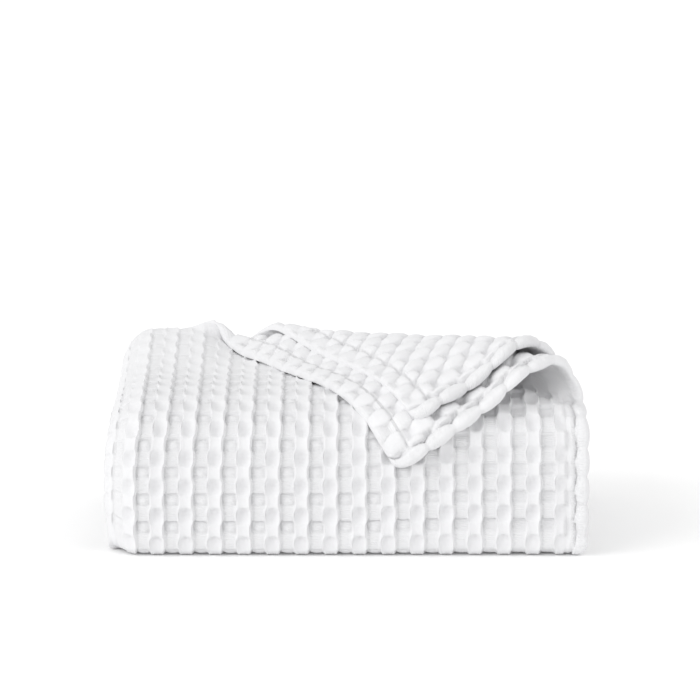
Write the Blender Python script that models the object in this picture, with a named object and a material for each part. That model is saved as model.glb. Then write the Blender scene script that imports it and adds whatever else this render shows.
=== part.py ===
"""A waffle-weave throw blanket, folded back and forth into a pile, its top back corner turned to the front.

The cloth is drawn flat first: x runs across it, y along it from one end to the other, z through its
thickness with the face side at 0. Every point is then carried to its place in the pile. One chart serves the
whole pile: "rise" is the length of cloth from the front bottom edge up the front and over the top, and
"depth" is how far a point lies below the pile's outer surface. Eight nested passes, 0 outermost, go round the
front of the pile.
"""
import math

import bmesh
import bpy
from mathutils import Vector

# Sizes in metres.
PITCH = 0.0088  # from one layer to the next
THICK = 0.0060  # the puffed-up weave
PASSES = 8
TOP = (2 * PASSES - 1) * PITCH + THICK
SHOULDER_FOOT = TOP - 0.0343  # where the front starts to lean back
FOOT_RADIUS = 0.012
BACK_RISE = 0.372  # the top end of the outermost pass, along the cloth
BACK_Y = 0.259
UNDER_LENGTH = 0.250
DEEPEST = 0.080  # the depth at which the nested corners would shrink to nothing

# Across the cloth.
LEFT_FLAT = -0.180  # to the left of this line the outermost pass curls round the side
LEFT_CLOTH = 0.050  # cloth left of that line
RIGHT = 0.211
CURL_RADIUS = 0.032
CURL_TURN = math.radians(86)

# The raised bands of the weave that run up the front.
BAND_PITCH = 0.0252
SUNK_CENTRE = -0.0017
RELIEF = 0.0016
LEVEL_HALF = 0.0042  # half of the level top of a band or bottom of a sunken column
GROOVE_X = 0.1915  # the groove beside the side hem
GROOVE_WIDE = 0.003
GROOVE_DEEP = 0.0024
LINE_APART = 0.0015  # band lines closer than this are left out
HEM_WIDTH = 0.012
EVEN_TO = 0.100  # to the right of this line the runs differ in width

# The shoulder, a row per stretch of cloth from the front up: cloth length, and the turn it makes.
SHOULDER = [
    {"length": 0.025, "turn": 55, "steps": 4},
    {"length": 0.025, "turn": 17, "steps": 2},
    {"length": 0.025, "turn": 12, "steps": 1},
    {"length": 0.025, "turn": 6, "steps": 1},
]
SHOULDER_LENGTH = sum(row["length"] for row in SHOULDER)

# The turned corner: the fold line passes through FOLD_AT square to FOLD_TO. The roll loosens to the right.
FOLD_AT = (0.1277, 0.2250)
FOLD_TO = (0.4933, 0.8699)
ROLL_AT = [
    {"along": -0.290, "radius": 0.0066},
    {"along": -0.250, "radius": 0.0042},
    {"along": -0.140, "radius": 0.0050},
    {"along": -0.080, "radius": 0.0070},
    {"along": 0.010, "radius": 0.0105},
    {"along": 0.045, "radius": 0.0140},
    {"along": 0.090, "radius": 0.0165},
]
LOOSE = 0.0018  # slack of the second layer round the first
REST = 0.0042  # the turned corner's height over the cloth it lies on
SETTLE = 0.070  # the length in which it comes down to it
HEM_LIFT_WIDTH = 0.036
HEM_LIFT = [  # how far the outermost pass's side hem stands up, by the cloth length past the roll
    {"beyond": 0.000, "lift": 0.0},
    {"beyond": 0.036, "lift": 0.0115},
    {"beyond": 0.054, "lift": 0.0100},
    {"beyond": 0.080, "lift": 0.0065},
    {"beyond": 0.110, "lift": 0.0045},
    {"beyond": 0.150, "lift": 0.0025},
]
LIFT = 0.012  # how far the top end stands up off the pile at its left
LIFT_TO = -0.095
LIFT_WIDTH = 0.045
LIFT_FROM = 0.240

# The pile as a whole stands unevenly.
BACK_UP = 0.0040  # higher at its back
LEFT_LEAN = 0.030  # the share by which the upper left comes in
LEFT_LEAN_FROM = 0.070
RIGHT_LEAN = 0.0065  # how far the upper right comes in
RIGHT_LEAN_FROM = 0.100
LEAN_HEIGHT = 0.070
RIGHT_LEAN_X = 0.100

# The passes in the order in which the cloth runs. Reach is how far each goes to the left of LEFT_FLAT.
RUNS = [
    {"depth_no": 0, "down": True, "top_end": 0.259, "under_end": 0.262, "reach": 0.0290, "right": 0.211},
    {"depth_no": 3, "down": False, "top_end": 0.256, "under_end": 0.262, "reach": 0.0215, "right": 0.202},
    {"depth_no": 4, "down": True, "top_end": 0.256, "under_end": 0.254, "reach": 0.0270, "right": 0.205},
    {"depth_no": 7, "down": False, "top_end": 0.263, "under_end": 0.254, "reach": 0.0285, "right": 0.201},
    {"depth_no": 6, "down": True, "top_end": 0.263, "under_end": 0.254, "reach": 0.0280, "right": 0.199},
    {"depth_no": 5, "down": False, "top_end": 0.256, "under_end": 0.254, "reach": 0.0260, "right": 0.203},
    {"depth_no": 2, "down": True, "top_end": 0.256, "under_end": 0.262, "reach": 0.0175, "right": 0.206},
    {"depth_no": 1, "down": False, "top_end": 0.259, "under_end": 0.262, "reach": 0.0030, "right": 0.2025},
]
LAST = len(RUNS) - 1
LAST_SHORT = 0.004  # the last pass stops this much before BACK_RISE

# Rows and lines of points.
EDGE_SPARE = 0.001
SLIVER = 0.0004
TURN_STEPS = 6
ROLL_STEPS = 8
ACROSS_STEP = 0.018
CORNER_FROM = 0.100  # the rise above which the corner has its own lines
ACROSS_FIRST = [-0.360, -0.290, -0.250, -0.205, -0.160, -0.115, -0.080]  # places along the fold line
ACROSS_LAST = 0.120
DROP_LINES = [-0.010, 0.0, 0.008, 0.016, 0.025, 0.037, 0.050, 0.075, 0.100]  # past the shoulder's foot
HEM_LINES = [0.006, 0.012, 0.024, 0.036]  # in from the side hem's edge
UNDER_LINES = [0.35, 0.70, 1.0]  # shares of the length under the pile


def ease(value):
    value = min(max(value, 0.0), 1.0)
    return value * value * (3 - 2 * value)


def blend(start, end, share):
    return start + (end - start) * share


def shoulder_table():
    """Cloth length, y and z from the foot of the shoulder, in fine steps."""
    table = [(0.0, 0.0, 0.0)]
    lean = 0.0
    for row in SHOULDER:
        parts = 20
        for _ in range(parts):
            middle = math.radians(lean + row["turn"] / parts / 2)
            step = row["length"] / parts
            length, y, z = table[-1]
            table.append((length + step, y + step * math.sin(middle), z + step * math.cos(middle)))
            lean += row["turn"] / parts
    return table


SHOULDER_POINTS = shoulder_table()
SHOULDER_DEEP = SHOULDER_POINTS[-1][1]
SHOULDER_HIGH = SHOULDER_POINTS[-1][2]


def shoulder_at(length):
    parts = len(SHOULDER_POINTS) - 1
    place = min(max(length / SHOULDER_LENGTH, 0.0), 1.0) * parts
    index = min(int(place), parts - 1)
    first = SHOULDER_POINTS[index]
    second = SHOULDER_POINTS[index + 1]
    return blend(first[1], second[1], place - index), blend(first[2], second[2], place - index)


def corner_scale(depth):
    room = TOP - 2 * depth
    return min(1 - depth / DEEPEST, 0.95 * room / (SHOULDER_HIGH + FOOT_RADIUS))


def on_chart(rise, depth, top_end, under_end):
    """The y and z of a point, from its rise and its depth below the outer surface."""
    scale = corner_scale(depth)
    level = TOP - depth
    foot = FOOT_RADIUS * scale
    shoulder_foot = level - SHOULDER_HIGH * scale
    over = rise - SHOULDER_FOOT
    if over >= SHOULDER_LENGTH:
        start = depth + SHOULDER_DEEP * scale
        share = (over - SHOULDER_LENGTH) / (BACK_RISE - SHOULDER_FOOT - SHOULDER_LENGTH)
        return blend(start, top_end, share), level
    if over >= 0:
        y, z = shoulder_at(over)
        return depth + y * scale, shoulder_foot + z * scale
    if rise >= FOOT_RADIUS:
        share = (rise - FOOT_RADIUS) / (SHOULDER_FOOT - FOOT_RADIUS)
        return depth, blend(depth + foot, shoulder_foot, share)
    turn = (FOOT_RADIUS - rise) / FOOT_RADIUS
    if turn <= math.pi / 2:
        return depth + foot * (1 - math.cos(turn)), depth + foot * (1 - math.sin(turn))
    share = (turn - math.pi / 2) * FOOT_RADIUS / UNDER_LENGTH
    return blend(depth + foot, under_end, share), depth


UNDER_RISE = FOOT_RADIUS * (1 - math.pi / 2)


def pass_rises(fine, first_rise):
    """The rises at which a pass has a row of points, from the top end down."""
    rises = [first_rise]
    rises.append(SHOULDER_FOOT + SHOULDER_LENGTH)
    gone = SHOULDER_LENGTH
    for row in reversed(SHOULDER):
        steps = row["steps"] if fine else max(1, row["steps"] // 2)
        for _ in range(steps):
            gone -= row["length"] / steps
            rises.append(SHOULDER_FOOT + gone)
    foot_steps = 4 if fine else 2
    for index in range(foot_steps + 1):
        rises.append(blend(FOOT_RADIUS, UNDER_RISE, index / foot_steps))
    for share in UNDER_LINES if fine else UNDER_LINES[-1:]:
        rises.append(UNDER_RISE - UNDER_LENGTH * share)
    return rises


def top_rise(number):
    return BACK_RISE - (LAST_SHORT if number == LAST else 0.0)


def lay_rows():
    """The rows of points from one end of the cloth to the other."""
    rows = []
    along = 0.0
    for number, run in enumerate(RUNS):
        rises = pass_rises(run["depth_no"] <= 1, top_rise(number))
        if not run["down"]:
            rises.reverse()
        for index, rise in enumerate(rises):
            if index:
                along += abs(rise - rises[index - 1])
            rows.append({"along": along, "run": number, "rise": rise, "turn": None})
        if number < LAST:
            radius = abs(RUNS[number + 1]["depth_no"] - run["depth_no"]) * PITCH / 2
            steps = TURN_STEPS if radius > PITCH else TURN_STEPS - 2
            for index in range(1, steps):
                turned = math.pi * index / steps
                rows.append({"along": along + radius * turned, "run": number, "rise": rise, "turn": turned})
            along += math.pi * radius
    return rows


def lay_columns():
    """The lines of points along the cloth, at the edges of the raised bands."""
    columns = [LEFT_FLAT - LEFT_CLOTH, LEFT_FLAT, RIGHT, RIGHT - HEM_WIDTH / 2]
    columns += [GROOVE_X, GROOVE_X + GROOVE_WIDE]
    first = math.floor((LEFT_FLAT - LEFT_CLOTH - SUNK_CENTRE) / BAND_PITCH) - 1
    last = math.ceil((RIGHT - SUNK_CENTRE) / BAND_PITCH)
    for number in range(first, last):
        centre = SUNK_CENTRE + number * BAND_PITCH
        for offset in (-LEVEL_HALF, LEVEL_HALF, BAND_PITCH / 2 - LEVEL_HALF, BAND_PITCH / 2 + LEVEL_HALF):
            x = centre + offset
            apart = min(abs(x - other) for other in columns)
            if LEFT_FLAT - LEFT_CLOTH < x < GROOVE_X and apart > LINE_APART:
                columns.append(x)
    return sorted(columns)


def flat_cloth(rows, columns):
    bm = bmesh.new()
    across = len(columns) - 1
    up = len(rows) - 1
    bmesh.ops.create_grid(bm, x_segments=across, y_segments=up, size=0.5)
    for vert in bm.verts:
        column = round((vert.co.x + 0.5) * across)
        row = round((vert.co.y + 0.5) * up)
        vert.co.x = columns[column]
        vert.co.y = rows[row]["along"]
    return bm


def thicken(bm):
    """Add the far side: the face side stays at z 0 and the reverse goes to z THICK."""
    made = bmesh.ops.extrude_face_region(bm, geom=bm.faces[:], use_keep_orig=True)
    for item in made["geom"]:
        if isinstance(item, bmesh.types.BMVert):
            item.co.z = THICK
    bmesh.ops.recalc_face_normals(bm, faces=bm.faces)


def fold_distance(x, rise):
    return (x - FOLD_AT[0]) * FOLD_TO[0] + (rise - FOLD_AT[1]) * FOLD_TO[1]


def fold_along(x, rise):
    return (x - FOLD_AT[0]) * FOLD_TO[1] - (rise - FOLD_AT[1]) * FOLD_TO[0]


def roll_radius(along):
    index = 1
    while index + 1 < len(ROLL_AT) and ROLL_AT[index]["along"] < along:
        index += 1
    first, second = ROLL_AT[index - 1], ROLL_AT[index]
    share = (along - first["along"]) / (second["along"] - first["along"])
    return blend(first["radius"], second["radius"], ease(share))


def roll_start(along):
    return -math.pi / 2 * (roll_radius(along) + THICK / 2)


def looser_by(pass_depth):
    return LOOSE if pass_depth > 0 else 0.0


def hem_lift(x, beyond):
    """The side hem of the turned corner stands up, most of all next to the roll."""
    index = 1
    while index + 1 < len(HEM_LIFT) and HEM_LIFT[index]["beyond"] < beyond:
        index += 1
    first, second = HEM_LIFT[index - 1], HEM_LIFT[index]
    share = (beyond - first["beyond"]) / (second["beyond"] - first["beyond"])
    nearness = ease((x - RIGHT + HEM_LIFT_WIDTH) / HEM_LIFT_WIDTH)
    return nearness * blend(first["lift"], second["lift"], ease(share))


def turn_corner(x, rise, depth, pass_depth):
    """Roll the corner over its fold line. Gives the new x, rise and depth."""
    distance = fold_distance(x, rise)
    along = fold_along(x, rise)
    start = roll_start(along)
    if distance <= start:
        return x, rise, depth
    radius = roll_radius(along) + looser_by(pass_depth)
    rest = REST + looser_by(pass_depth)
    cloth_radius = radius + pass_depth + THICK / 2
    angle = (distance - start) / cloth_radius
    if angle < math.pi:
        moved = start + (radius + depth) * math.sin(angle)
        height = radius - (radius + depth) * math.cos(angle)
    else:
        beyond = distance - start - math.pi * cloth_radius
        moved = start - beyond
        height = 2 * radius + depth - (2 * radius - rest) * ease(beyond / SETTLE)
        height += hem_lift(x, beyond) if pass_depth == 0 else 0.0
    x = FOLD_AT[0] + along * FOLD_TO[1] + moved * FOLD_TO[0]
    rise = FOLD_AT[1] - along * FOLD_TO[0] + moved * FOLD_TO[1]
    return x, rise, -height


def locate(along, rows):
    """The run, rise and turn of a place along the cloth."""
    index = 1
    while index + 1 < len(rows) and rows[index]["along"] < along - 1e-7:
        index += 1
    first, second = rows[index - 1], rows[index]
    share = (along - first["along"]) / (second["along"] - first["along"])
    share = min(max(share, 0.0), 1.0)
    if share > 0.999:
        return second["run"], second["rise"], second["turn"]
    if share < 0.001:
        return first["run"], first["rise"], first["turn"]
    return first["run"], blend(first["rise"], second["rise"], share), None


def relief(x):
    """How far the face stands proud: the bands up, the columns between them down, the hem a roll."""
    if x > GROOVE_X + GROOVE_WIDE / 2:
        return RELIEF * math.cos(math.pi / 2 * (x - RIGHT + HEM_WIDTH / 2) / HEM_WIDTH)
    if x > GROOVE_X - GROOVE_WIDE / 2:
        return -GROOVE_DEEP
    phase = abs((x - SUNK_CENTRE + BAND_PITCH / 2) % BAND_PITCH - BAND_PITCH / 2)
    rising = BAND_PITCH / 2 - 2 * LEVEL_HALF
    share = (phase - LEVEL_HALF) / rising
    return blend(-RELIEF, RELIEF, ease(share))


def side_place(x, depth, run, pass_depth, curl):
    """Bring the left side in, curled round for the outermost pass."""
    if x >= LEFT_FLAT:
        return x, depth
    share = (LEFT_FLAT - x) / LEFT_CLOTH
    plain = LEFT_FLAT - share * run["reach"]
    if curl <= 0:
        return plain, depth
    inward = CURL_RADIUS - (depth - pass_depth)
    angle = share * CURL_TURN
    curled = LEFT_FLAT - inward * math.sin(angle)
    curled_depth = pass_depth + CURL_RADIUS - inward * math.cos(angle)
    return blend(plain, curled, curl), blend(depth, curled_depth, curl)


def curl_at(rise):
    """The outermost pass curls at its left side, fading out where it goes under the pile."""
    return ease((rise + 0.030) / 0.050)


def back_lift(x, rise):
    """The top end of the outermost pass stands up off the pile at its left, before the turned corner."""
    return LIFT * ease((LIFT_TO - x) / LIFT_WIDTH) * ease((rise - LIFT_FROM) / (BACK_RISE - LIFT_FROM))


def uneven(x, y, z):
    """The pile stands a little higher at its back and comes in at its upper left and right."""
    z += BACK_UP * max(y / BACK_Y, 0.0) * z / TOP
    if x < 0:
        x *= 1 - LEFT_LEAN * ease((z - LEFT_LEAN_FROM) / LEAN_HEIGHT)
    if x > RIGHT_LEAN_X:
        share = ease((x - RIGHT_LEAN_X) / (RIGHT - RIGHT_LEAN_X))
        x -= RIGHT_LEAN * share * ease((z - RIGHT_LEAN_FROM) / LEAN_HEIGHT)
    return x, y, z


def place(point, rows):
    """Carry a point of the flat cloth to its place in the pile."""
    x, along, through = point
    number, rise, turn = locate(along, rows)
    run = RUNS[number]
    if turn is not None:
        return turned_point(x, through, number, turn)
    pass_depth = run["depth_no"] * PITCH
    depth = pass_depth + (through if run["down"] else THICK - through)
    if number == 0 and through < THICK / 2:
        past_roll = fold_distance(x, rise) - roll_start(fold_along(x, rise))
        depth -= relief(x) * ease((rise - UNDER_RISE) / FOOT_RADIUS) * (1 - ease(past_roll / HEM_WIDTH))
    curl = curl_at(rise) if number == 0 else 0.0
    x, depth = side_place(x, depth, run, pass_depth, curl)
    if number in (0, LAST):
        x, rise, depth = turn_corner(x, rise, depth, pass_depth)
    if number == 0:
        depth -= back_lift(x, rise)
    y, z = on_chart(rise, depth, run["top_end"], run["under_end"])
    return uneven(x, y, z)


def turned_point(x, through, number, turned):
    """A point of the round turn between two runs at the back of the pile."""
    first = RUNS[number]
    second = RUNS[number + 1]
    at_top = not first["down"]
    middle_y = first["top_end"] if at_top else first["under_end"]
    heights = []
    for run in (first, second):
        depth = run["depth_no"] * PITCH + THICK / 2
        heights.append(TOP - depth if at_top else depth)
    upward = heights[1] > heights[0]
    radius = abs(heights[1] - heights[0]) / 2
    radius += (THICK / 2 - through) if upward else (through - THICK / 2)
    y = middle_y + radius * math.sin(turned)
    z = sum(heights) / 2 - radius * math.cos(turned) * (1 if upward else -1)
    share = turned / math.pi
    start_x = side_place(x, 0.0, first, 0.0, 0.0)[0]
    end_x = side_place(x, 0.0, second, 0.0, 0.0)[0]
    return uneven(blend(start_x, end_x, share), y, z)


def plain_lines(columns):
    """The few lines that stay where the cloth has no bands."""
    kept = [columns[0], columns[-1]]
    for wanted in (LEFT_FLAT, 0.0, EVEN_TO):
        kept.append(min(columns, key=lambda x: abs(x - wanted)))
    return kept


def thin_out(bm, rows, columns):
    """Take out the band lines where no band shows: all but the outermost pass, and its far side."""
    kept = plain_lines(columns)
    last_outer = max(row["along"] for row in rows if row["run"] == 0 and row["turn"] is None)
    edges = []
    for edge in bm.edges:
        first, second = edge.verts
        if abs(first.co.x - second.co.x) > 1e-7 or abs(first.co.z - second.co.z) > 1e-7:
            continue
        middle = (first.co.y + second.co.y) / 2
        if any(abs(first.co.x - x) < 1e-7 for x in kept):
            continue
        outer = middle < last_outer
        far_side = first.co.z > THICK / 2
        if outer and (not far_side or first.co.x < LEFT_FLAT):
            continue
        edges.append(edge)
    bmesh.ops.dissolve_edges(bm, edges=edges, use_verts=True)


def trim_right(bm, rows):
    """Bring the right edge of each run to where it lies, part of the way on in the turns between runs."""
    for vert in bm.verts:
        if vert.co.x <= EVEN_TO:
            continue
        number, _, turn = locate(vert.co.y, rows)
        right = RUNS[number]["right"]
        if turn is not None:
            right = blend(right, RUNS[number + 1]["right"], turn / math.pi)
        vert.co.x = EVEN_TO + (vert.co.x - EVEN_TO) * (right - EVEN_TO) / (RIGHT - EVEN_TO)


def fold_point(along, distance, number, end):
    """A point in fold terms, as a place on the flat cloth."""
    x = FOLD_AT[0] + along * FOLD_TO[1] + distance * FOLD_TO[0]
    rise = FOLD_AT[1] - along * FOLD_TO[0] + distance * FOLD_TO[1]
    if number == 0:
        return Vector((x, BACK_RISE - rise, 0.0))
    return Vector((x, end - top_rise(number) + rise, 0.0))


def past_edge(x, rise):
    """How far a point lies past the straight line on the cloth where the corner's own lines begin."""
    first, last = ROLL_AT[0], ROLL_AT[-1]
    share = (fold_along(x, rise) - first["along"]) / (last["along"] - first["along"])
    edge = blend(roll_start(first["along"]), roll_start(last["along"]), share) - EDGE_SPARE
    return fold_distance(x, rise) - edge


def cloth_rise(place, number, end):
    return BACK_RISE - place.y if number == 0 else top_rise(number) - (end - place.y)


def corner_faces(bm, number, end, low=-1.0, high=1.0):
    """The faces of the turned corner, or those between two places along the fold line."""
    found = []
    for face in bm.faces:
        middle = face.calc_center_median()
        rise = cloth_rise(middle, number, end)
        if rise > CORNER_FROM and past_edge(middle.x, rise) > 0 and low < fold_along(middle.x, rise) < high:
            found.append(face)
    return found


def cut(bm, faces, first, second):
    """Cut these faces with an upright plane through two points of the flat cloth."""
    parts = set(faces)
    for face in faces:
        parts.update(face.edges)
        parts.update(face.verts)
    across = (second - first).cross(Vector((0.0, 0.0, 1.0)))
    bmesh.ops.bisect_plane(bm, geom=list(parts), dist=1e-6, plane_co=first, plane_no=across)


def across_places():
    """Places along the fold line, closer together where it crosses the shoulder."""
    places = list(ACROSS_FIRST)
    while places[-1] < ACROSS_LAST:
        places.append(places[-1] + ACROSS_STEP)
    return places


def clear_corner(bm, number, end):
    """Cut the corner's edge line and take out the band lines past it."""
    near = []
    for face in bm.faces:
        if CORNER_FROM < cloth_rise(face.calc_center_median(), number, end) <= BACK_RISE:
            near.append(face)
    ends = [ROLL_AT[0]["along"], ROLL_AT[-1]["along"]]
    edge = [fold_point(along, roll_start(along) - EDGE_SPARE, number, end) for along in ends]
    cut(bm, near, edge[0], edge[1])
    beyond = set(corner_faces(bm, number, end))
    inner = set()
    for face in beyond:
        for line in face.edges:
            if all(other in beyond and abs(other.normal.z) > 0.9 for other in line.link_faces):
                inner.add(line)
    bmesh.ops.dissolve_edges(bm, edges=list(inner), use_verts=True)


def lay_corner(bm, number, end):
    """Give the turned corner its own lines: across and along the roll, and down over the shoulder."""
    clear_corner(bm, number, end)
    pass_depth = RUNS[number]["depth_no"] * PITCH
    places = across_places()
    for along in places:
        points = [fold_point(along, distance, number, end) for distance in (-0.1, 0.2)]
        cut(bm, corner_faces(bm, number, end), points[0], points[1])
    lines = [(math.pi * index / ROLL_STEPS, 0.0) for index in range(ROLL_STEPS + 1)]
    lines += [(math.pi, SETTLE * share) for share in (0.25, 0.5, 0.75, 1.0)]
    for low, high in zip(places, places[1:]):
        for angle, beyond in lines:
            points = [roll_point(along, angle, beyond, pass_depth, number, end) for along in (low, high)]
            cut(bm, corner_faces(bm, number, end, low, high), points[0], points[1])
    for inset in HEM_LINES:
        points = [Vector((RUNS[number]["right"] - inset, place, 0.0)) for place in (0.0, 1.0)]
        cut(bm, corner_faces(bm, number, end), points[0], points[1])
    for over in DROP_LINES:
        points = [mirrored_point(x, SHOULDER_FOOT + over, pass_depth, number, end) for x in (0.0, 0.2)]
        cut(bm, corner_faces(bm, number, end), points[0], points[1])


def roll_point(along, angle, beyond, pass_depth, number, end):
    cloth_radius = roll_radius(along) + looser_by(pass_depth) + pass_depth + THICK / 2
    return fold_point(along, roll_start(along) + cloth_radius * angle + beyond, number, end)


def mirrored_point(x, rise, pass_depth, number, end):
    """The place on the flat cloth that the turned corner brings to this place of the chart."""
    distance = math.pi * (pass_depth + looser_by(pass_depth)) - fold_distance(x, rise)
    return fold_point(fold_along(x, rise), distance, number, end)


def build_cloth():
    rows = lay_rows()
    columns = lay_columns()
    end = rows[-1]["along"]
    bm = flat_cloth(rows, columns)
    thicken(bm)
    thin_out(bm, rows, columns)
    trim_right(bm, rows)
    lay_corner(bm, 0, end)
    lay_corner(bm, LAST, end)
    bmesh.ops.remove_doubles(bm, verts=bm.verts, dist=SLIVER)
    wide = [face for face in bm.faces if len(face.verts) > 4]
    bmesh.ops.triangulate(bm, faces=wide)
    for vert in bm.verts:
        vert.co = place(tuple(vert.co), rows)
    if bm.calc_volume(signed=True) < 0:
        bmesh.ops.reverse_faces(bm, faces=bm.faces)
    set_down(bm)
    return bm


def set_down(bm):
    """Bring the middle of the pile over the origin."""
    low = [min(vert.co[axis] for vert in bm.verts) for axis in range(3)]
    high = [max(vert.co[axis] for vert in bm.verts) for axis in range(3)]
    middle = Vector(((low[0] + high[0]) / 2, (low[1] + high[1]) / 2, low[2]))
    bmesh.ops.translate(bm, verts=bm.verts, vec=-middle)


def cloth_material():
    material = bpy.data.materials.new("white cotton weave")
    material.use_nodes = True
    shader = material.node_tree.nodes["Principled BSDF"]
    shader.inputs["Base Color"].default_value = (0.86, 0.86, 0.85, 1.0)
    shader.inputs["Roughness"].default_value = 0.9
    return material


for old in list(bpy.data.objects):
    bpy.data.objects.remove(old, do_unlink=True)

throw = bpy.data.collections.new("folded throw")
bpy.context.scene.collection.children.link(throw)

cloth = build_cloth()
mesh = bpy.data.meshes.new("blanket")
cloth.to_mesh(mesh)
cloth.free()
mesh.materials.append(cloth_material())
blanket = bpy.data.objects.new("blanket", mesh)
throw.objects.link(blanket)
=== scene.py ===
"""The folded waffle-weave throw, dressed: one cloth in four lengths, laid on the folds of its solid."""

import collections
import math

import bmesh
import bpy
import numpy as np
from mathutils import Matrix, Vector


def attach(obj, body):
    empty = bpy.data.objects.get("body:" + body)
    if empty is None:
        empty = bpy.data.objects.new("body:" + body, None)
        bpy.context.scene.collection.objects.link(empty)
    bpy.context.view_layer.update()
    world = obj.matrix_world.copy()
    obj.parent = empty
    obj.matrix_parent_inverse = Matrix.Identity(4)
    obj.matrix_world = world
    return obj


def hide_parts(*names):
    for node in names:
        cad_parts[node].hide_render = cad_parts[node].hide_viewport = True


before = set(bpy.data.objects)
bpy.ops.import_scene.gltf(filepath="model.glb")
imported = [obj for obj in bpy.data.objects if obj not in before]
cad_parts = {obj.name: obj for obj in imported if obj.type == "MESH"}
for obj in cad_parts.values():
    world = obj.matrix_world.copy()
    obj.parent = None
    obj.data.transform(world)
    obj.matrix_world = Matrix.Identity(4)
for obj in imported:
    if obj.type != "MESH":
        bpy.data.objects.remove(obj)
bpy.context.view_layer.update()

# The inner layers: the middle of the cloth, folded back and forth, with its round turns at the pile's back.
# It is white cotton in a deep waffle weave, pressed nearly flat by the layers over it, with a rolled hem down
# each side. It is made flat, given its weave on both sides, and then laid in the folds that its solid has.

PITCH, THICK, LAYERS = 0.0088, 0.0060, 16  # from layer to layer, through the cloth, and how many layers lie there
TOP = (LAYERS - 1) * PITCH + THICK
MIDDLE_X, MIDDLE_Y = 0.0001, 0.1306  # the pile's middle, measured from a front that stands at y 0
SHOULDER = [(0.025, 55), (0.025, 17), (0.025, 12), (0.025, 6)]  # cloth length, degrees turned
SHOULDER_FOOT = TOP - 0.0343
FOOT_RADIUS, DEEPEST = 0.012, 0.080  # the second is the depth at which the front's curves would close up
BACK_RISE, BACK_Y = 0.372, 0.259  # where the outermost pass ends at the pile's back
UNDER_LENGTH = 0.250
UNDER_END = FOOT_RADIUS * (1 - math.pi / 2) - UNDER_LENGTH
LEFT_FLAT, LEFT_CLOTH = -0.180, 0.050  # where the left side starts to turn in, and the cloth beyond it
LEFT, RIGHT = LEFT_FLAT - LEFT_CLOTH, 0.211
BACK_LIFT, UPPER_LEFT_LEAN = 0.0040, 0.030  # the lean is a share of the distance from the middle
UPPER_RIGHT_LEAN, FOOT_TUCK = 0.0065, 0.0065
# The passes over the top, down the front and under the pile, in the cloth's order from its outer end. Layers
# count from the outside in, reach is what the cloth past LEFT_FLAT takes up, right is the pass's right edge.
PASSES = np.array([
    (0, True, 0.259, 0.262, 0.0290, 0.2110),
    (3, False, 0.256, 0.262, 0.0215, 0.2020),
    (4, True, 0.256, 0.254, 0.0270, 0.2050),
    (7, False, 0.263, 0.254, 0.0285, 0.2010),
    (6, True, 0.263, 0.254, 0.0280, 0.1990),
    (5, False, 0.256, 0.254, 0.0260, 0.2030),
    (2, True, 0.256, 0.262, 0.0175, 0.2060),
    (1, False, 0.259, 0.262, 0.0030, 0.2025),
], dtype=[("layer", int), ("down", bool), ("top_end", float), ("under_end", float), ("reach", float),
          ("right", float)])
LAST_PASS = len(PASSES) - 1


def ease(share):
    """From 0 to 1, level at both ends."""
    share = np.clip(share, 0.0, 1.0)
    return share * share * (3 - 2 * share)


def step(place, start, length):
    """0 before start and 1 past start + length, which may lie on either side of it."""
    return ease((place - start) / length)


def hump(place, middle, width):
    return np.exp(-((place - middle) / width) ** 2)


def blend(start, end, share):
    return start + (end - start) * share


def shoulder_curve(points=401):
    """The length, y and z of points down the rounded front shoulder."""
    lengths = np.cumsum([0] + [length for length, _ in SHOULDER])
    leans = np.radians(np.cumsum([0] + [turned for _, turned in SHOULDER]))
    along = np.linspace(0, lengths[-1], points)
    lean = np.interp(along, lengths, leans)
    lean = (lean[1:] + lean[:-1]) / 2
    y = np.concatenate([[0], np.cumsum(np.sin(lean) * np.diff(along))])
    z = np.concatenate([[0], np.cumsum(np.cos(lean) * np.diff(along))])
    return along, y, z


shoulder_length, shoulder_y, shoulder_z = shoulder_curve()


def on_chart(rise, depth, top_end, under_end):
    """The y and z of points. Rise is the cloth's length up from the front's foot, and depth goes inwards."""
    scale = np.minimum(1 - depth / DEEPEST, 0.95 * (TOP - 2 * depth) / (shoulder_z[-1] + FOOT_RADIUS))
    level = TOP - depth
    foot = FOOT_RADIUS * scale
    shoulder_foot = level - shoulder_z[-1] * scale
    over = rise - SHOULDER_FOOT
    length = shoulder_length[-1]
    share = (over - length) / (BACK_RISE - SHOULDER_FOOT - length)
    y = blend(depth + shoulder_y[-1] * scale, top_end, share)
    z = level + 0 * rise
    on_shoulder = over < length
    y = np.where(on_shoulder, depth + np.interp(over, shoulder_length, shoulder_y) * scale, y)
    z = np.where(on_shoulder, shoulder_foot + np.interp(over, shoulder_length, shoulder_z) * scale, z)
    on_front = over < 0
    share = (rise - FOOT_RADIUS) / (SHOULDER_FOOT - FOOT_RADIUS)
    y = np.where(on_front, depth, y)
    z = np.where(on_front, blend(depth + foot, shoulder_foot, share), z)
    turn = (FOOT_RADIUS - rise) / FOOT_RADIUS
    y = np.where(turn > 0, depth + foot * (1 - np.cos(turn)), y)
    z = np.where(turn > 0, depth + foot * (1 - np.sin(turn)), z)
    under = turn > math.pi / 2
    share = (turn - math.pi / 2) * FOOT_RADIUS / UNDER_LENGTH
    y = np.where(under, blend(depth + foot, under_end, share), y)
    z = np.where(under, depth, z)
    return y, z


def bring_left_in(x, reach):
    """The cloth past the left side's start takes up only its pass's reach."""
    share = np.maximum(LEFT_FLAT - x, 0) / LEFT_CLOTH
    return np.where(share > 0, LEFT_FLAT - share * reach, x)


def lie_plain(run, x, rise, depth, droop, sink):
    """The shape of a length that only follows the folds."""
    return bring_left_in(x, PASSES["reach"][run]), rise, depth


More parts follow.
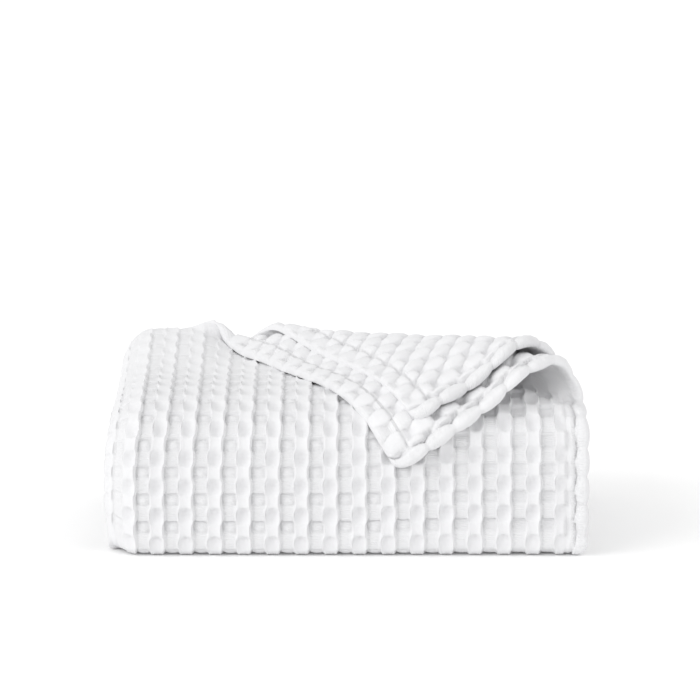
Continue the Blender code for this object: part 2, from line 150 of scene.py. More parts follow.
def round_turn(run, x, turn, through):
    """The x, y and z of points in the turn that ends their pass, from their angle round it."""
    after = np.minimum(run + 1, LAST_PASS)
    down = PASSES["down"][run]
    middles = [PASSES["layer"][these] * PITCH + THICK / 2 for these in (run, after)]
    first, last = [np.where(down, middle, TOP - middle) for middle in middles]
    upward = last > first
    radius = np.abs(last - first) / 2 + np.where(upward, THICK / 2 - through, through - THICK / 2)
    near_x = bring_left_in(x, PASSES["reach"][run])
    far_x = bring_left_in(x, PASSES["reach"][after])
    y = np.where(down, PASSES["under_end"][run], PASSES["top_end"][run]) + radius * np.sin(turn)
    z = (first + last) / 2 - radius * np.cos(turn) * np.where(upward, 1, -1)
    return blend(near_x, far_x, turn / math.pi), y, z


def uneven(x, y, z):
    """The pile rises to the back, leans in at its upper sides, and is tucked in at the right foot."""
    z = z + BACK_LIFT * np.maximum(y / BACK_Y, 0) * z / TOP
    x = np.where(x < 0, x * (1 - UPPER_LEFT_LEAN * step(z, 0.070, 0.070)), x)
    x = x - UPPER_RIGHT_LEAN * step(x, 0.100, 0.111) * step(z, 0.100, 0.070)
    x = x - FOOT_TUCK * step(x, 0.180, 0.031) * (1 - np.clip(z / 0.016, 0, 1)) ** 2
    return x, y, z


def lay(run, x, rise, turn, through, shaped):
    """Lay points of the flat cloth in the pile: along their pass in its own shape, or round its turn."""
    depth = PASSES["layer"][run] * PITCH + np.where(PASSES["down"][run], through, THICK - through)
    laid_x, laid_rise, laid_depth = shaped(run, x, rise, depth)
    y, z = on_chart(laid_rise, laid_depth, PASSES["top_end"][run], PASSES["under_end"][run])
    around = ~np.isnan(turn)
    turned = round_turn(run, x, np.where(around, turn, 0.0), through)
    x, y, z = [np.where(around, *pair) for pair in zip(turned, (laid_x, y, z))]
    x, y, z = uneven(x, y, z)
    return np.stack([x - MIDDLE_X, y - MIDDLE_Y, z], axis=1)


REPEAT_ACROSS, REPEAT_ALONG = 0.0252, 0.0268
SUNK = -0.0017  # the middle of a sunken column
COLUMN = 0.0062  # half of a sunken column's width
COLUMN_LEVEL, BAND_LEVEL, BACK_LEVEL = -0.0015, 0.0012, -0.0011
POCKET_ACROSS, POCKET_ALONG, POCKET_DEPTH = 0.0070, 0.0062, 0.0033
DIMPLE_ACROSS, DIMPLE_ALONG, DIMPLE_DEPTH = 0.0066, 0.0082, 0.0040
DOME_ACROSS, DOME_ALONG, DOME_HEIGHT = 0.0045, 0.0047, 0.0034
DOME_RIGHT, DOME_DOWN = 0.0007, 0.0006  # how far the domes lie off the squares' middles
PIT_ACROSS, PIT_ALONG, PIT_DEPTH = 0.0050, 0.0044, 0.0046
PUFF_HEIGHT, RIDGE_HEIGHT, GUTTER_DEPTH = 0.0027, 0.0013, 0.0019
DIFFERS = 0.0010  # how much one square's height may differ from another's


def cell(across, along):
    """The place in a repeat of the weave, from a square's middle, and a chance number for each repeat."""
    i = np.floor((across - SUNK) / REPEAT_ACROSS + 0.5)
    j = np.floor(along / REPEAT_ALONG + 0.5)
    chance = np.sin(i * 12.9898 + j * 78.233) * 43758.5453
    return across - SUNK - i * REPEAT_ACROSS, along / REPEAT_ALONG - j, chance - np.floor(chance)


def face_width(p):
    """Half of a sunken column's width on the face, which is widest at its squares."""
    return COLUMN + 0.0010 * np.tanh(2.4 * np.cos(2 * math.pi * p))


def back_width(p):
    """Half of a puffed column's width on the reverse."""
    return COLUMN + 0.0019 * np.cos(2 * math.pi * p)


def waffle_face(across, along):
    """Height of the face: sunken columns with domed square pockets, bands with dimples, and thin ridges."""
    c, p, chance = cell(across, along)
    up = p * REPEAT_ALONG
    past = np.abs(c) - face_width(p)
    pocket = np.clip(1 - (np.abs(c) / POCKET_ACROSS) ** 6, 0, 1)
    pocket = pocket * np.clip(1 - (np.abs(up) / POCKET_ALONG) ** 8, 0, 1) ** 0.7
    dome = np.exp(-((c - DOME_RIGHT) / DOME_ACROSS) ** 4 - ((up + DOME_DOWN) / DOME_ALONG) ** 4)
    dome = (DOME_HEIGHT + DIFFERS * chance) * dome * (1 - 0.80 * step(across, 0.030, 0.150))
    beside_pocket = 0.30 + 0.70 * ease(0.5 + 0.8 * np.cos(2 * math.pi * p))
    gutter = GUTTER_DEPTH * hump(past, -0.0011, 0.0011) * (c < 0) * beside_pocket
    column = COLUMN_LEVEL - POCKET_DEPTH * pocket + dome - gutter
    off_across = (REPEAT_ACROSS / 2 - np.abs(c)) / DIMPLE_ACROSS
    off_along = (REPEAT_ALONG / 2 - np.abs(up)) / DIMPLE_ALONG
    dimple = np.clip(1 - np.hypot(off_across, off_along) ** 2.4, 0, 1)
    band = BAND_LEVEL - (DIMPLE_DEPTH + DIFFERS * chance) * dimple
    on_band = 0.5 + 0.5 * np.tanh((past + 0.0002) / 0.0006)
    return blend(column, band, on_band) + RIDGE_HEIGHT * hump(past, 0.0008, 0.0007)


def waffle_back(across, along):
    """Height of the reverse side: lens-shaped puffs in a brick pattern, with pits where they pinch."""
    c, p, chance = cell(across, along)
    width = back_width(p)
    own = np.abs(c) < width
    middle = np.where(own, np.abs(c), REPEAT_ACROSS / 2 - np.abs(c))
    u = middle / np.where(own, width, REPEAT_ACROSS / 2 - width)
    v = np.where(own, np.abs(p) * 2, 1 - np.abs(p) * 2)
    puff = np.sqrt(np.clip(1 - u ** 3.6, 0, 1)) * np.clip(1 - (1.22 * v) ** 5.0, 0, 1) ** 0.6
    pit = np.exp(-(middle / PIT_ACROSS) ** 4 - ((1 - v) * REPEAT_ALONG / 2 / PIT_ALONG) ** 2)
    return BACK_LEVEL + (PUFF_HEIGHT + 0.6 * DIFFERS * chance) * puff - PIT_DEPTH * pit


SIDE_HEM, END_HEM, BACK_HEM = 0.0202, 0.0190, 0.0125  # hem widths, the last that of the side hem's reverse
HEM_ROLL_WIDTH, HEM_ROLL_BULGE, HEM_ROLL_HEIGHT = 0.0094, 0.0030, 0.0036
HEM_SQUARE_MIDDLE, HEM_SQUARE_HALF, HEM_SQUARE_HEIGHT = 0.0155, 0.0034, 0.0020
HEM_ROLL_LEVEL, HEM_SQUARE_LEVEL, GROOVE_DEPTH = -0.0004, -0.0022, 0.0018
PRESSED_LEVEL, PRESSED_CREASES, STITCH_DEPTH = 0.0003, 0.0005, 0.0023
EDGE_ROUND, EDGE_THICK = 0.0030, 0.15  # width of the rounded edge, and the share of thickness at its brink
NIP, CORNER_ROUND = 0.0026, 0.010


def bulge(along):
    """The long bulges of the side hem, nipped in once a repeat."""
    return np.abs(np.sin(math.pi * (along / REPEAT_ALONG + 0.25))) ** 0.6


def side_hem(inset, along):
    """Height over the side hem, from the edge in: a puckered roll, a groove and a row of small squares."""
    wave = np.cos(2 * math.pi * (along / REPEAT_ALONG - np.floor(along / REPEAT_ALONG)))
    roll_width = HEM_ROLL_WIDTH + HEM_ROLL_BULGE * bulge(along)
    u = np.clip(np.abs(inset - roll_width / 2) / (roll_width / 2), 0, 1)
    crumple = 0.16 * np.sin(along / 0.0014 + 2.0 * np.sin(along / 0.011)) * np.sin(inset / 0.0031 + 2 * wave)
    roll = HEM_ROLL_HEIGHT * (0.38 + 0.80 * bulge(along) + crumple) * np.sqrt(1 - u ** 2.2)
    square = 0.35 + 0.65 * ease(0.5 - 1.6 * wave)
    square = square * np.clip(1 - (np.abs(inset - HEM_SQUARE_MIDDLE) / HEM_SQUARE_HALF) ** 4, 0, 1)
    squares = HEM_SQUARE_LEVEL + HEM_SQUARE_HEIGHT * square
    groove = GROOVE_DEPTH * hump(inset, roll_width + 0.0006, 0.0010)
    return np.where(inset < roll_width, HEM_ROLL_LEVEL + roll, squares) - groove


def end_hem(end, across):
    """Height over the end hem, from the edge in: a flat pressed band, then a stitched line."""
    pressed = np.sin(across / 0.0020 + 1.5 * np.sin(across / 0.009))
    pressed = pressed * np.sin(np.clip(end / 0.0175, 0, 1) * math.pi)
    return PRESSED_LEVEL + PRESSED_CREASES * pressed - STITCH_DEPTH * hump(end, END_HEM, 0.0011)


def cloth_height(x, along, inset, end, puffed):
    """Height of either side: its weave, flattened at the end hem, and the side hem in its place."""
    height = np.where(puffed, waffle_back(x, along), waffle_face(x, along))
    height = blend(height, 0.64 * height + end_hem(end, x), step(end, 0.0215, -0.002))
    on_hem = inset < np.where(puffed, BACK_HEM, SIDE_HEM)
    return np.where(on_hem, side_hem(inset, along), height)


def follow_weave(x, along, inset, puffed):
    """Move lines of points onto the wavy sides of the weave's columns, short of the side hems."""
    c, p, _ = cell(x, along)
    width = np.where(puffed, back_width(p), face_width(p))
    in_band = (REPEAT_ACROSS / 2 - np.abs(c)) * (REPEAT_ACROSS / 2 - width) / (REPEAT_ACROSS / 2 - COLUMN)
    in_band = np.sign(c) * (REPEAT_ACROSS / 2 - in_band)
    moved = np.where(np.abs(c) <= COLUMN, c * width / COLUMN, in_band)
    return x + (moved - c) * (inset > SIDE_HEM)


def draw_edges_in(x, run, turn, along, inset, end):
    """Nip the side hem in, round the end hem's right corner, and draw each pass in to its own right edge."""
    x = x - np.sign(x) * NIP * (1 - bulge(along)) * np.clip(1 - inset / 0.008, 0, 1)
    cut = CORNER_ROUND - np.sqrt(np.maximum(CORNER_ROUND ** 2 - np.maximum(CORNER_ROUND - end, 0) ** 2, 0))
    x = x - cut * step(x, RIGHT - 0.030, 0.030)
    after = np.minimum(run + 1, LAST_PASS)
    right = blend(PASSES["right"][run], PASSES["right"][after], np.where(np.isnan(turn), 0.0, turn / math.pi))
    even_to = 0.100
    return np.where(x > even_to, even_to + (x - even_to) * (right - even_to) / (RIGHT - even_to), x)


def lines_across():
    """Places of the lines of points across the cloth: the same in each repeat, and closer over the hems."""
    weave = (-0.0101, -0.0078, -0.0069, -0.0062, -0.0051, -0.0028, 0.0,
             0.0028, 0.0051, 0.0062, 0.0069, 0.0078, 0.0101, 0.0126)
    hem = (0.0, 0.0003, 0.0012, 0.0028, 0.0046, 0.0064, 0.0082, 0.0098, 0.0110,
           0.0120, 0.0136, 0.0155, 0.0174, 0.0188, 0.0200)
    places = [SUNK + number * REPEAT_ACROSS + offset for number in range(-10, 9) for offset in weave]
    kept = [x for x in places if LEFT + 0.0140 < x < RIGHT - 0.0206]
    return np.array(sorted([LEFT + inset for inset in hem[:10:2]] + kept + [RIGHT - inset for inset in hem]))


Row = collections.namedtuple("Row", "run rise turn")  # its pass, its rise, and its angle round the turn


def even_rows(run, first, last, apart):
    """Rows of points over part of a pass, between two rises."""
    count = max(1, round(abs(last - first) / apart))
    return [Row(run, rise, math.nan) for rise in np.linspace(first, last, count + 1)]


def turn_rows(run, rise, count):
    return [Row(run, rise, math.pi * index / count) for index in range(1, count)]


def pass_rows(run, turn_count):
    """Rows over a whole hidden pass, closer at its ends, and round the turn that ends it."""
    stretches = [(UNDER_END, UNDER_END + 0.030, 0.010),
                 (UNDER_END + 0.060, BACK_RISE - 0.040, 0.030),
                 (BACK_RISE - 0.010, BACK_RISE, 0.005)]
    if PASSES["down"][run]:
        stretches = [(last, first, apart) for first, last, apart in reversed(stretches)]
    rows = [row for stretch in stretches for row in even_rows(run, *stretch)]
    return rows + turn_rows(run, rows[-1].rise, turn_count)


def places_along(rows):
    """The place along the cloth of each row, over the passes and round the turns."""
    places = [0.0]
    for before, row in zip(rows, rows[1:]):
        if math.isnan(row.turn) and math.isnan(before.turn):
            length = abs(row.rise - before.rise) if row.run == before.run else 0.0
        else:
            layers = PASSES["layer"][min(before.run + 1, LAST_PASS)] - PASSES["layer"][before.run]
            first = 0.0 if math.isnan(before.turn) else before.turn
            last = math.pi if math.isnan(row.turn) else row.turn
            length = (abs(layers) * PITCH / 2 + 0.0005) * (last - first)
        places.append(places[-1] + length)
    return places


def blank_length(name, across, up):
    """A square grid and a copy of it one unit above, joined round their edges."""
    bm = bmesh.new()
    bmesh.ops.create_grid(bm, x_segments=across, y_segments=up, size=0.5)
    made = bmesh.ops.extrude_face_region(bm, geom=bm.faces[:], use_keep_orig=True)
    for item in made["geom"]:
        if isinstance(item, bmesh.types.BMVert):
            item.co.z = 1.0
    bmesh.ops.recalc_face_normals(bm, faces=bm.faces)
    mesh = bpy.data.meshes.new(name)
    bm.to_mesh(mesh)
    bm.free()
    return mesh


def face_outwards(mesh):
    """Laying the cloth in its folds can turn its mesh inside out."""
    bm = bmesh.new()
    bm.from_mesh(mesh)
    if bm.calc_volume(signed=True) < 0:
        bmesh.ops.reverse_faces(bm, faces=bm.faces)
        bm.to_mesh(mesh)
    bm.free()


def measure_uv(mesh, name, first, second):
    """A UV map that holds two lengths of the flat cloth, in millimetres."""
    corners = np.empty(len(mesh.loops), dtype=int)
    mesh.loops.foreach_get("vertex_index", corners)
    uv = mesh.uv_layers.new(name=name)
    uv.data.foreach_set("uv", np.stack([first[corners] * 1000, second[corners] * 1000], axis=1).ravel())


def cloth_length(name, rows, alongs, relief, shape=lie_plain, end_at=None, reverse_near=False):
    """One length of the cloth. Its near side is the outer one, and is the face unless reverse_near."""
    columns = lines_across()
    mesh = blank_length(name, len(columns) - 1, len(rows) - 1)
    points = np.empty(len(mesh.vertices) * 3)
    mesh.vertices.foreach_get("co", points)
    points = points.reshape(-1, 3)
    column = np.rint((points[:, 0] + 0.5) * (len(columns) - 1)).astype(int)
    line = np.rint((points[:, 1] + 0.5) * (len(rows) - 1)).astype(int)
    far = points[:, 2] > 0.5
    run, rise, turn = [np.array(values)[line] for values in zip(*rows)]
    x = columns[column]
    along = np.array(alongs)[line]
    inset = np.minimum(RIGHT - x, x - LEFT)
    end = np.full(len(x), 1.0) if end_at is None else np.abs(along - end_at)
    puffed = far != reverse_near
    x = follow_weave(x, along, inset, puffed)
    height = cloth_height(x, along, inset, end, puffed) * relief(x, rise, far)
    at_foot = np.where(run == 0, step(rise, 0.024, -0.020), 0.0) * ~far
    height = blend(height, 0.3 * height - 0.0010, at_foot)
    rounding = np.sqrt(np.clip(1 - (1 - np.clip(np.minimum(inset, end) / EDGE_ROUND, 0, 1)) ** 2, 0, 1))
    half = np.maximum((THICK / 2 + height) * blend(EDGE_THICK, 1.0, rounding), -0.0020)
    through = np.where(far, THICK / 2 + half, THICK / 2 - half)
    droop = step(end, 0.034, -0.034)
    sink = THICK / 2 * 0.75 * (1 - rounding) * (end < EDGE_ROUND)
    x = draw_edges_in(x, run, turn, along, inset, end)
    places = lay(run, x, rise, turn, through, lambda *place: shape(*place, droop, sink))
    mesh.vertices.foreach_set("co", places.ravel())
    measure_uv(mesh, "weave", x, along)
    measure_uv(mesh, "edge", inset, end)
    mesh.polygons.foreach_set("use_smooth", np.ones(len(mesh.polygons), dtype=bool))
    mesh.update()
    face_outwards(mesh)
    piece = bpy.data.objects.new(name, mesh)
    bpy.context.scene.collection.objects.link(piece)
    return piece


def pressed_relief(near):
    """Hidden layers keep little of their weave, and least on the far side."""
    return lambda x, rise, far: np.where(far, 0.10, near)


inner_rows = even_rows(0, -0.190, UNDER_END, 0.005) + turn_rows(0, UNDER_END, 22)
for run, turn_count in ((1, 6), (2, 22), (3, 8), (4, 6)):
    inner_rows += pass_rows(run, turn_count)
inner_rows += even_rows(5, UNDER_END, UNDER_END + 0.030, 0.010)
inner_rows += even_rows(5, UNDER_END + 0.060, BACK_RISE - 0.045, 0.030)
inner_alongs = places_along(inner_rows)
inner = cloth_length("inner_layers", inner_rows, inner_alongs, pressed_relief(near=0.60))


class Value:
    """A shader socket that takes part in Python sums."""
    tree = None

    def __init__(self, socket):
        self.socket = socket

    @classmethod
    def node(cls, kind, settings, inputs, output=0):
        made = cls.tree.nodes.new(kind)
        for name, setting in settings.items():
            setattr(made, name, setting)
        for name, value in inputs.items():
            if isinstance(value, Value):
                cls.tree.links.new(value.socket, made.inputs[name])
            else:
                made.inputs[name].default_value = value
        return cls(made.outputs[output])

    def math(self, operation, other=0.0, first=None):
        inputs = {0: self, 1: other} if first is None else {0: first, 1: self}
        return Value.node("ShaderNodeMath", {"operation": operation}, inputs)

    def __add__(self, other):
        return self.math("ADD", other)

    def __sub__(self, other):
        return self.math("SUBTRACT", other)

    def __rsub__(self, other):
        return self.math("SUBTRACT", first=other)

    def __mul__(self, other):
        return self.math("MULTIPLY", other)

    __radd__ = __add__
    __rmul__ = __mul__


def white_cotton():
    """Soft, matt, faintly fuzzy yarn, with fine ribs across the sunken columns and creases along the hems."""
    cotton = bpy.data.materials.new("white cotton waffle")
    cotton.use_nodes = True
    Value.tree = cotton.node_tree
    shader = cotton.node_tree.nodes["Principled BSDF"]
    rib_apart, thread_apart = 1.7, 1.15  # millimetres
    weave = Value.node("ShaderNodeUVMap", {"uv_map": "weave"}, {})
    across = Value.node("ShaderNodeSeparateXYZ", {}, {0: weave}, 0)
    along = Value.node("ShaderNodeSeparateXYZ", {}, {0: weave}, 1)
    edges = Value.node("ShaderNodeUVMap", {"uv_map": "edge"}, {})
    inset = Value.node("ShaderNodeSeparateXYZ", {}, {0: edges}, 0)
    end = Value.node("ShaderNodeSeparateXYZ", {}, {0: edges}, 1)
    spot = Value.node("ShaderNodeTexCoord", {}, {}, 3)
    from_column = ((across - SUNK * 1000) * (0.001 / REPEAT_ACROSS) + 0.5).math("FRACT") - 0.5
    in_column = Value.node("ShaderNodeMapRange", {"interpolation_type": "SMOOTHSTEP"},
                           {0: from_column.math("ABSOLUTE"), 1: 0.25, 2: 0.20, 3: 0.0, 4: 1.0})
    ribs = (along * (2 * math.pi / rib_apart)).math("SINE")
    turns = 2 * math.pi / thread_apart
    threads = (along * turns).math("SINE") * (across * turns).math("SINE")
    fuzz = Value.node("ShaderNodeTexNoise", {},
                      {"Vector": spot, "Scale": 420.0, "Detail": 3.0, "Roughness": 0.6})
    on_side = Value.node("ShaderNodeMapRange", {}, {0: inset, 1: 12.5, 2: 9.0, 3: 0.0, 4: 1.0})
    on_end = Value.node("ShaderNodeMapRange", {}, {0: end, 1: 20.0, 2: 17.0, 3: 0.0, 4: 1.0})
    side_spot = Value.node("ShaderNodeCombineXYZ", {}, {0: along * 0.42, 1: inset * 0.13})
    end_spot = Value.node("ShaderNodeCombineXYZ", {}, {0: across * 0.42, 1: end * 0.13})
    side_creases = Value.node("ShaderNodeTexNoise", {}, {"Vector": side_spot, "Scale": 1.0, "Detail": 2.0})
    end_creases = Value.node("ShaderNodeTexNoise", {}, {"Vector": end_spot, "Scale": 1.0, "Detail": 2.0})
    creases = side_creases * on_side * 4.0 + end_creases * on_end * 2.4
    height = ribs * in_column * 0.55 + threads * 0.22 + fuzz * 0.9 + creases
    bump = Value.node("ShaderNodeBump", {}, {"Strength": 0.6, "Distance": 0.0004, "Height": height})
    patches = Value.node("ShaderNodeTexNoise", {}, {"Vector": spot, "Scale": 26.0, "Detail": 2.0})
    tint = Value.node("ShaderNodeMix", {"data_type": "RGBA"},
                      {0: patches, 6: (0.750, 0.750, 0.760, 1), 7: (0.780, 0.780, 0.790, 1)}, 2)
    worn = patches * 0.08 + 0.88
    cotton.node_tree.links.new(tint.socket, shader.inputs["Base Color"])
    cotton.node_tree.links.new(worn.socket, shader.inputs["Roughness"])
    cotton.node_tree.links.new(bump.socket, shader.inputs["Normal"])
    shader.inputs["Specular IOR Level"].default_value = 0.15
    shader.inputs["Sheen Weight"].default_value = 0.25
    shader.inputs["Sheen Roughness"].default_value = 0.6
    return cotton


cotton = white_cotton()
inner.data.materials.append(cotton)
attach(inner, "root")
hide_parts("blanket")

# The third layer: the pile's top where the corner has been turned away, the round turn at the back below it,
# and the pass that goes down the front under the second layer. It is the same white cotton waffle, face side
# out, and goes on from the inner layers without a seam.

third_rows = even_rows(5, BACK_RISE - 0.050, BACK_RISE, 0.010) + turn_rows(5, BACK_RISE, 24)
third_rows += even_rows(6, BACK_RISE, 0.165, 0.00212) + even_rows(6, 0.150, UNDER_END + 0.060, 0.030)
third_rows += even_rows(6, UNDER_END + 0.050, UNDER_END, 0.010) + turn_rows(6, UNDER_END, 6)
third_rows += even_rows(7, UNDER_END, UNDER_END + 0.070, 0.010)
third_alongs = places_along(third_rows)
third = cloth_length("third_layer", third_rows, third_alongs, pressed_relief(near=0.75))
third.data.materials.append(cotton)
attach(third, "root")
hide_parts("blanket")

# The second layer: the cloth's one end. Its top back right corner is rolled over a slanting line together
# with the outermost length's, and lies on the front with its puffed side up. It is the same cotton, with a
# flat hem sewn across the end, and the rest of it lies hidden under the outermost length.

FOLD_X, FOLD_RISE = 0.1277, 0.2250  # a point of the line that the corner is turned over
FOLD_ACROSS, FOLD_UP = 0.4933, 0.8699  # the direction square to that line, towards the corner
LOOSE, REST, SETTLE = 0.0018, 0.0042, 0.070  # between the turned layers, under them, and the length to settle
DROOP_FROM, DROOP_OVER = 2.0, 1.4  # angles in the roll
ROLL = [(-0.290, 0.0066), (-0.250, 0.0042), (-0.140, 0.0050), (-0.080, 0.0070),
        (0.010, 0.0105), (0.045, 0.0140), (0.090, 0.0165)]  # place along the fold line, radius of the roll
HEM_LIFT = [(0.0, 0.0), (0.036, 0.0115), (0.054, 0.0100),
            (0.080, 0.0065), (0.110, 0.0045), (0.150, 0.0025)]  # place past the roll, the side hem's lift
SECOND_RISE, SECOND_FIRST = 0.368, 0.361  # rises of the layer's end and of its first row of squares
EVEN_LINES = (-0.0112, -0.0089, -0.0067, -0.0045, -0.0022, 0.0,
              0.0022, 0.0045, 0.0067, 0.0089, 0.0112, 0.0134)
END_LINES = (0.0, 0.0003, 0.0013, 0.0035, 0.0075, 0.0115, 0.0155, 0.0178, 0.0190, 0.0202, 0.0220)
END_PART = 0.0235


def steps_of(table, place):
    """Eased steps between the rows of a table of places and values."""
    places, values = np.array(table).T
    index = np.clip(np.searchsorted(places, place) - 1, 0, len(table) - 2)
    share = step(place, places[index], places[index + 1] - places[index])
    return blend(values[index], values[index + 1], share)


def roll_terms(x, rise, layer_depth):
    """A point's place along the fold line and past the roll's start, the roll's start and radii, its angle."""
    distance = (x - FOLD_X) * FOLD_ACROSS + (rise - FOLD_RISE) * FOLD_UP
    along = (x - FOLD_X) * FOLD_UP - (rise - FOLD_RISE) * FOLD_ACROSS
    inner_radius = steps_of(ROLL, along)
    start = -math.pi / 2 * (inner_radius + THICK / 2)
    radius = inner_radius + (LOOSE if layer_depth > 0 else 0.0)
    cloth_radius = radius + layer_depth + THICK / 2
    return along, distance - start, start, radius, cloth_radius, (distance - start) / cloth_radius


def turn_corner(x, rise, depth, layer_depth):
    """Roll the corner over its fold line, and let it settle on the cloth below."""
    along, past_start, start, radius, cloth_radius, angle = roll_terms(x, rise, layer_depth)
    rest = REST + (LOOSE if layer_depth > 0 else 0.0)
    beyond = past_start - math.pi * cloth_radius
    moved = np.where(angle < math.pi, start + (radius + depth) * np.sin(angle), start - beyond)
    height = np.where(angle < math.pi, radius - (radius + depth) * np.cos(angle),
                      2 * radius + depth - (2 * radius - rest) * ease(beyond / SETTLE))
    if layer_depth == 0:
        lift = steps_of(HEM_LIFT, beyond) * step(x, RIGHT - 0.036, 0.036)
        height = height + np.where(angle > math.pi, lift, 0)
    turned = angle > 0
    x = np.where(turned, FOLD_X + along * FOLD_UP + moved * FOLD_ACROSS, x)
    rise = np.where(turned, FOLD_RISE - along * FOLD_ACROSS + moved * FOLD_UP, rise)
    return x, rise, np.where(turned, -height, depth), angle


def droop_down(angle, clear, droop, sink):
    """How far the turned corner's end hem hangs down to the cloth below it."""
    return (0.94 * clear * droop + sink) * step(angle, DROOP_FROM, DROOP_OVER)


def top_swell(x, rise):
    """The two upper layers' soft swell beside the top of the fold line."""
    return 0.0055 * hump(x, -0.058, 0.026) * step(rise, 0.250, 0.080)


def second_shape(run, x, rise, depth, droop, sink):
    x = bring_left_in(x, PASSES["reach"][run])
    x, rise, depth, angle = turn_corner(x, rise, depth, PITCH)
    depth = depth + droop_down(angle, 0.0060, droop, sink)
    return x, rise, depth - top_swell(x, rise)


def second_relief(x, rise, far):
    """Only the turned corner shows."""
    angle = roll_terms(x, rise, PITCH)[-1]
    return np.where(far, 0.05, 0.10 + 0.90 * ease(angle / 0.8))


def weave_rows(run, top, bottom, first, offsets):
    """Rows of points between two rises, the same in each repeat of the weave, from the top down."""
    rises = [first + number * REPEAT_ALONG + offset for number in range(-30, 31) for offset in offsets]
    return [Row(run, rise, math.nan) for rise in sorted(rises, reverse=True) if bottom < rise < top]


second_rows = [Row(7, SECOND_RISE - end, math.nan) for end in END_LINES]
second_rows += weave_rows(7, SECOND_RISE - END_PART, 0.100, SECOND_FIRST, EVEN_LINES)
second_rows += even_rows(7, 0.090, -0.190, 0.020)
second_alongs = [SECOND_FIRST - row.rise for row in second_rows]
second = cloth_length("second_layer", second_rows, second_alongs, second_relief, second_shape,
                      end_at=SECOND_FIRST - SECOND_RISE, reverse_near=True)
second.data.materials.append(cotton)
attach(second, "root")
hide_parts("blanket")

# The outermost length: the cloth's other end, from the turned corner over the top, down the front and under
# the pile, with its left side curled in. It is the same cotton waffle, face side out on the front and puffed
# side up on the turned corner, with the rolled side hem down its right and the flat end hem along the corner.

CURL_RADIUS, CURL_TURN = 0.032, math.radians(86)
ROW_CLIMB = 0.0032  # how far the front's rows of squares climb to the right
END_STAND = 0.0165  # how far the top left part of the end stands off the pile
CORNER_SWELL = 0.0060  # how far the front swells out under the turned corner
OUTER_FIRST = 0.0249  # rise of the lowest row of squares
FRONT_LINES = (-0.0098, -0.0072, -0.0060, -0.0045, -0.0020, 0.0010,
               0.0036, 0.0050, 0.0060, 0.0068, 0.0088, 0.0134)
FRONT_TOP = 0.210


def curl_left(x, depth, reach, curl):
    """Curl the left side round into the pile."""
    share = np.maximum(LEFT_FLAT - x, 0) / LEFT_CLOTH
    inward = CURL_RADIUS - depth
    curled = (share > 0) & (curl > 0)
    plain = bring_left_in(x, reach)
    curled_x = blend(plain, LEFT_FLAT - inward * np.sin(share * CURL_TURN), curl)
    curled_depth = blend(depth, CURL_RADIUS - inward * np.cos(share * CURL_TURN), curl)
    return np.where(curled, curled_x, plain), np.where(curled, curled_depth, depth)


def outer_shape(run, x, rise, depth, droop, sink):
    rise = rise + ROW_CLIMB * step(x, -0.030, 0.130) * step(rise, 0.0, 0.030) * (1 - step(rise, 0.125, 0.100))
    x, depth = curl_left(x, depth, PASSES["reach"][run], step(rise, -0.030, 0.050))
    turned_x, turned_rise, turned_depth, angle = turn_corner(x, rise, depth, 0.0)
    turned_depth = turned_depth + droop_down(angle, -turned_depth - depth, droop, sink)
    stand = END_STAND * step(turned_x, -0.092, -0.048) * step(turned_rise, 0.240, BACK_RISE - 0.240)
    swell = CORNER_SWELL * step(turned_x, 0.060, 0.050) * step(turned_rise, 0.095, 0.035)
    swell = swell * step(turned_rise, 0.215, -0.050) * ease(-angle / 0.6)
    return turned_x, turned_rise, turned_depth - stand - swell - top_swell(turned_x, turned_rise)


def outer_relief(x, rise, far):
    """The hidden sides are pressed flat: the reverse inside the pile, and the face under the corner."""
    angle = roll_terms(x, rise, 0.0)[-1]
    in_column = np.abs(cell(x, rise)[0]) < COLUMN + 0.0004
    fade = np.where(in_column, step(rise, 0.200, 0.080), step(rise, 0.112, 0.060))
    near = blend(1.0, 0.60, ease(-rise / 0.100)) - 0.62 * fade
    near = near * (1 - 0.6 * step(x, -0.190, -0.008))
    near = np.minimum(near, 1 - 0.95 * ease(angle / 0.8 + 0.2))
    return np.where(far, 0.10 + 0.90 * ease(angle / 0.8), near)


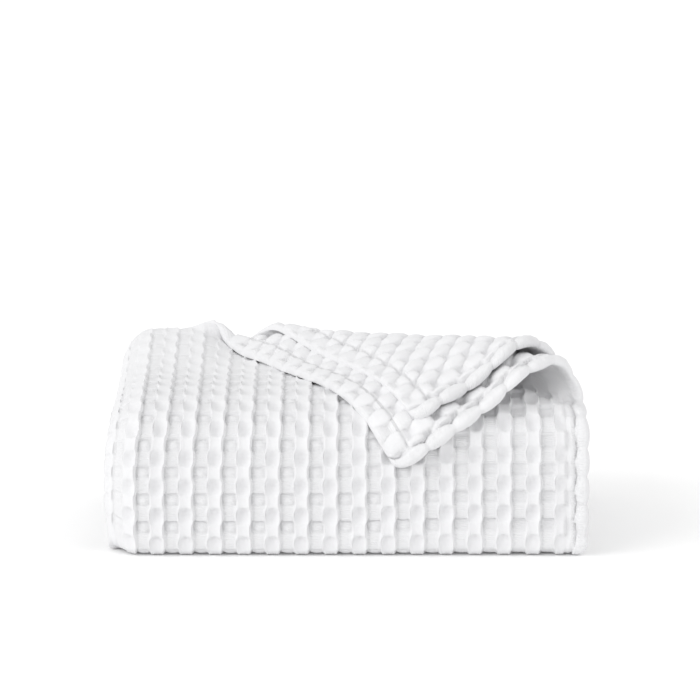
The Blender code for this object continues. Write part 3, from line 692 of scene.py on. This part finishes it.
outer_rows = [Row(0, BACK_RISE - end, math.nan) for end in END_LINES]
outer_rows += weave_rows(0, BACK_RISE - END_PART, FRONT_TOP, OUTER_FIRST, EVEN_LINES)
outer_rows += weave_rows(0, FRONT_TOP, -0.012, OUTER_FIRST, FRONT_LINES) + even_rows(0, -0.025, -0.200, 0.025)
outer_alongs = [row.rise - OUTER_FIRST for row in outer_rows]
outer = cloth_length("outer_wrap", outer_rows, outer_alongs, outer_relief, outer_shape,
                     end_at=BACK_RISE - OUTER_FIRST)
outer.data.materials.append(cotton)
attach(outer, "root")
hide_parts("blanket")

# The floor: one pale sheet that fades into a white room. Its faint glow is painted light: it lightens
# the shadow beside the pile.
bpy.ops.mesh.primitive_plane_add(size=12, location=(0, 2, 0))
floor = bpy.context.object
floor.name = "floor"
floor_white = bpy.data.materials.new("floor white")
floor_white.use_nodes = True
floor_shader = floor_white.node_tree.nodes["Principled BSDF"]
floor_shader.inputs["Base Color"].default_value = (0.98, 0.98, 0.98, 1)
floor_shader.inputs["Roughness"].default_value = 0.95
# painted light: a faint white glow on the floor that lifts the shadow beside the pile
floor_shader.inputs["Emission Color"].default_value = (1, 1, 1, 1)
floor_shader.inputs["Emission Strength"].default_value = 0.04
floor.data.materials.append(floor_white)

# The camera: nearly level with the pile and square to its front, from four metres.
camera_data = bpy.data.cameras.new("camera")
camera_data.lens = 238
camera_data.sensor_width = 36
camera_data.clip_end = 60
camera = bpy.data.objects.new("camera", camera_data)
bpy.context.scene.collection.objects.link(camera)
bpy.context.scene.camera = camera
aim = Vector((0.0025, -MIDDLE_Y, 0.1835))
camera_above, camera_away = math.radians(10), 4.0
camera.location = aim + camera_away * Vector((0, -math.cos(camera_above), math.sin(camera_above)))
camera.rotation_euler = (aim - camera.location).to_track_quat("-Z", "Y").to_euler()

# The light: a white room, a wide soft key from the upper left and front, and a weaker, wider fill.
world = bpy.data.worlds.new("room")
bpy.context.scene.world = world
world.use_nodes = True
world.node_tree.nodes["Background"].inputs[0].default_value = (1, 1, 1, 1)
world.node_tree.nodes["Background"].inputs[1].default_value = 0.89
lights = [("key", 1.04, 46, (-1.35, -1.0, 0.80)), ("fill", 0.48, 120, (0.6, -1.0, 0.10))]
for name, energy, wide, towards in lights:
    light_data = bpy.data.lights.new(name, "SUN")
    light_data.energy = energy
    light_data.angle = math.radians(wide)
    light = bpy.data.objects.new(name, light_data)
    light.location = towards
    light.rotation_euler = (-light.location).to_track_quat("-Z", "Y").to_euler()
    bpy.context.scene.collection.objects.link(light)
bpy.context.scene.view_settings.view_transform = "Standard"
